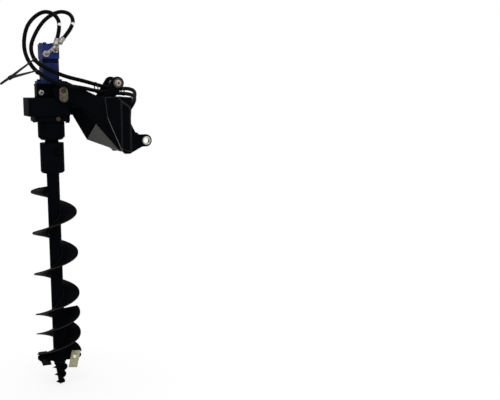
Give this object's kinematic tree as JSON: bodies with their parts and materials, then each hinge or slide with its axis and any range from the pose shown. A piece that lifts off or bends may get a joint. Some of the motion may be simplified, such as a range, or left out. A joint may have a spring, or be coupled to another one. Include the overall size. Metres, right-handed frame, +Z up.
{
  "type": "loader auger attachment",
  "caption": "Loader auger attachment: a pin-mounted plate carrier, a swinging hydraulic planetary drive with two hoses, and a helical auger with bolted teeth and a pilot bit.",
  "frame": {"origin": "middle of the lower arm pin's bore, between the side plates", "axes": "+Z up along the auger, +X towards the loader, -Y towards the keeper side"},
  "size_m": [0.7613, 0.3394, 1.9501],
  "materials": {
    "carrier_paint": "satin",
    "flight_paint": "worn satin",
    "bare_pin": "machined",
    "plated_washer": "zinc plated",
    "bolt_steel": "weathered",
    "motor_paint": "satin",
    "fitting_steel": "zinc plated",
    "hose_rubber": "matte",
    "tie_plastic": "matte",
    "gear_steel": "ground",
    "seal_rubber": "matte",
    "tooth_steel": "worn"
  },
  "bodies": {
    "frame": {"side_plate_near": "carrier_paint", "side_plate_far": "carrier_paint", "deck_plate": "carrier_paint", "rear_plate": "carrier_paint", "keel_plate": "carrier_paint", "stop_block": "carrier_paint", "cheek_near": "carrier_paint", "cheek_far": "carrier_paint", "link_ears": "carrier_paint", "link_pin": "bare_pin", "link_pin_washers": "plated_washer", "link_pin_bolts": "bolt_steel", "pivot_pin": "bare_pin", "pivot_keeper": "plated_washer", "keeper_bolt": "bolt_steel", "arm_pin_bushes": "bare_pin", "hose_ties": "tie_plastic", "hose_a_tail": "hose_rubber", "hose_b_tail": "hose_rubber", "hose_coupler_a": "fitting_steel", "hose_coupler_b": "fitting_steel", "hose_a_bend": "hose_rubber", "hose_b_bend": "hose_rubber"},
    "drive": {"pivot_cradle": "carrier_paint", "pivot_bushes": "bare_pin", "bell_housing": "carrier_paint", "bell_bolt": "bolt_steel", "motor_housing": "motor_paint", "gerotor_plate": "motor_paint", "port_block": "motor_paint", "motor_bolts": "bolt_steel", "end_bolts": "bolt_steel", "hose_a_loop": "hose_rubber", "hose_b_loop": "hose_rubber", "hose_fittings": "fitting_steel", "loose_tie": "tie_plastic", "ring_gear": "gear_steel", "lower_housing": "carrier_paint", "foot_bolts": "bolt_steel", "bearing_cups": "gear_steel", "shaft_seal": "seal_rubber", "fill_plug": "plated_washer"},
    "auger": {"planet_carrier": "gear_steel", "output_shaft": "bare_pin", "bearing_cones": "gear_steel", "hub_socket": "carrier_paint", "cross_bolt": "bolt_steel", "auger_tube": "carrier_paint", "main_flight": "flight_paint", "second_flight": "flight_paint", "pilot_bit": "tooth_steel", "tooth_holders": "carrier_paint", "cutting_teeth": "tooth_steel", "tooth_bolts": "bolt_steel"},
    "motor_shaft_body": {"motor_shaft": "bare_pin", "sun_gear": "gear_steel"},
    "roller_cages": {"roller_sets": "gear_steel"},
    "planet_1": {"planet_gear_1": "gear_steel"},
    "planet_2": {"planet_gear_2": "gear_steel"},
    "planet_3": {"planet_gear_3": "gear_steel"}
  },
  "joints": [
    {"name": "drive_swing", "type": "hinge", "parent": "frame", "child": "drive", "pos_m": [-0.425, 0, 0.26], "axis": [0, 1, 0], "range_deg": [0, 35], "deforming": ["hose_a_bend", "hose_b_bend"]},
    {"name": "auger_spin", "type": "hinge", "parent": "drive", "child": "auger", "pos_m": [-0.47, 0, 0], "axis": [0, 0, 1], "continuous": true},
    {"name": "sun_spin", "type": "hinge", "parent": "drive", "child": "motor_shaft_body", "pos_m": [-0.47, 0, 0.25], "axis": [0, 0, 1], "continuous": true},
    {"name": "roller_orbit", "type": "hinge", "parent": "drive", "child": "roller_cages", "pos_m": [-0.47, 0, 0.07], "axis": [0, 0, 1], "continuous": true},
    {"name": "planet_1_spin", "type": "hinge", "parent": "auger", "child": "planet_1", "pos_m": [-0.47, 0.0375, 0.176], "axis": [0, 0, 1], "continuous": true},
    {"name": "planet_2_spin", "type": "hinge", "parent": "auger", "child": "planet_2", "pos_m": [-0.50248, -0.01875, 0.176], "axis": [0, 0, 1], "continuous": true},
    {"name": "planet_3_spin", "type": "hinge", "parent": "auger", "child": "planet_3", "pos_m": [-0.43752, -0.01875, 0.176], "axis": [0, 0, 1], "continuous": true}
  ],
  "couplings": [
    {"joint": "sun_spin", "follows": "auger_spin", "ratio": 5},
    {"joint": "roller_orbit", "follows": "auger_spin", "ratio": 0.459},
    {"joint": "planet_1_spin", "follows": "auger_spin", "ratio": -2.6667},
    {"joint": "planet_2_spin", "follows": "auger_spin", "ratio": -2.6667},
    {"joint": "planet_3_spin", "follows": "auger_spin", "ratio": -2.6667}
  ]
}
